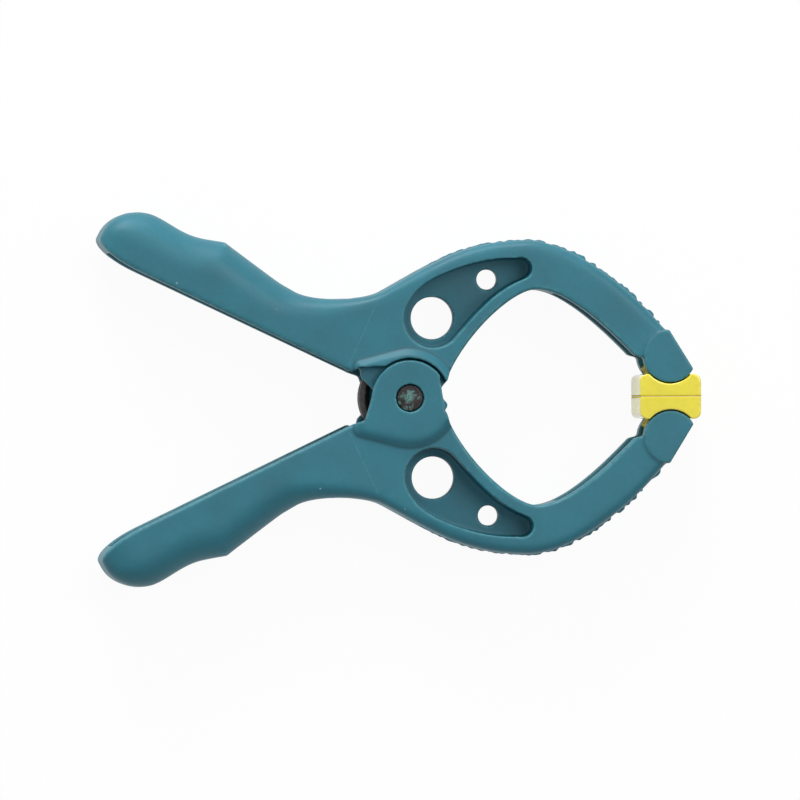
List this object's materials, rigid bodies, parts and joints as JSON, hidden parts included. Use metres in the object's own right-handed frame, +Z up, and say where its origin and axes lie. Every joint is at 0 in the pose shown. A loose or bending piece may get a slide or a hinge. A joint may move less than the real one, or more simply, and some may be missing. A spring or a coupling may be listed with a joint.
{
  "type": "spring clamp",
  "caption": "Hand-squeezed spring clamp: moulded plastic levers hinged on a steel pin, a torsion spring that closes the jaws, and swivelling pads at the jaw tips.",
  "frame": {"origin": "middle of the clamp's box, on the surface that it lies on", "axes": "+X along the clamp to the jaws, +Y from the lower lever to the upper lever, +Z up along the pivot pin"},
  "size_m": [0.1108, 0.0684, 0.017],
  "materials": {
    "lever_plastic": "satin moulded teal",
    "pin_steel": "oiled, dull",
    "spring_steel": "dark oxide",
    "pad_plastic": "satin moulded yellow"
  },
  "bodies": {
    "lower_lever": {"lower_lever": "lever_plastic", "pivot_pin": "pin_steel", "torsion_spring": "spring_steel"},
    "upper_lever": {"upper_lever": "lever_plastic"},
    "upper_pad": {"upper_pad": "pad_plastic"},
    "lower_pad": {"lower_pad": "pad_plastic"}
  },
  "joints": [
    {"name": "jaw_hinge", "type": "hinge", "parent": "lower_lever", "child": "upper_lever", "pos_m": [0.00103, 0, 0.00851], "axis": [0, 0, 1], "range_deg": [0, 47], "stiffness_Nm_per_rad": 1.6, "springref_deg": -28.65, "deforming": ["torsion_spring"]},
    {"name": "upper_pad_swivel", "type": "hinge", "parent": "upper_lever", "child": "upper_pad", "pos_m": [0.04888, 0.0074, 0.00851], "axis": [0, 0, 1], "range_deg": [-23.5, 0]},
    {"name": "lower_pad_swivel", "type": "hinge", "parent": "lower_lever", "child": "lower_pad", "pos_m": [0.04888, -0.0074, 0.00851], "axis": [0, 0, 1], "range_deg": [0, 23.5]}
  ],
  "couplings": [
    {"joint": "upper_pad_swivel", "follows": "jaw_hinge", "ratio": -0.5},
    {"joint": "lower_pad_swivel", "follows": "jaw_hinge", "ratio": 0.5}
  ]
}
